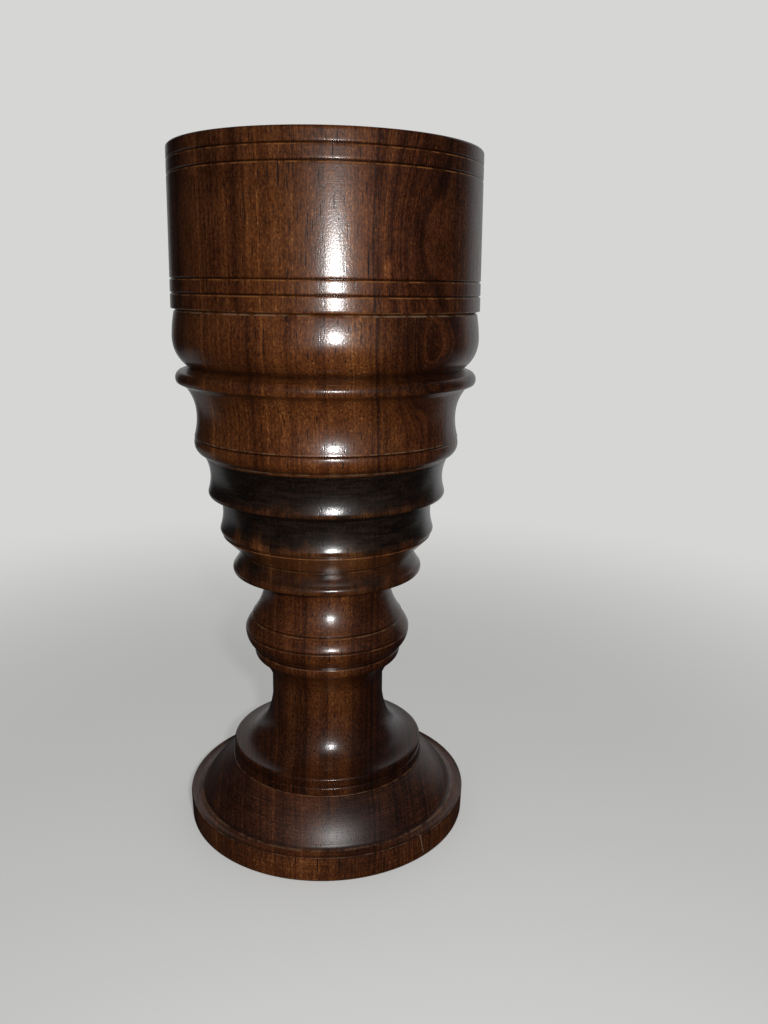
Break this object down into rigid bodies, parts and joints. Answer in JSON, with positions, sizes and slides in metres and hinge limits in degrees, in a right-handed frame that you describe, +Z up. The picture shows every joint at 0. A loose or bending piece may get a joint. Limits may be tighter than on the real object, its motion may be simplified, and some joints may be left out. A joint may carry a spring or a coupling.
{
  "type": "cigar cup",
  "caption": "Turned rosewood goblet: open round cup for standing cigars, on stacked beads and coves, a knopped stem and a stepped round foot.",
  "frame": {"origin": "centre of the base, on the surface that the cup stands on", "axes": "+Z up along the turning axis, from the foot to the open rim; X and Y lie in the base, and the part is round about Z"},
  "size_m": [0.11, 0.11, 0.25],
  "materials": {
    "rosewood": "glossy polish over oiled grain",
    "ebonised_rosewood": "black stain rubbed back at the edges, glossy polish",
    "baize": "napped wool cloth"
  },
  "bodies": {
    "root": {"mouth_band": "rosewood", "bowl": "rosewood", "stepped_collar": "ebonised_rosewood", "stem": "rosewood", "foot": "rosewood", "base_pad": "baize"}
  },
  "joints": []
}
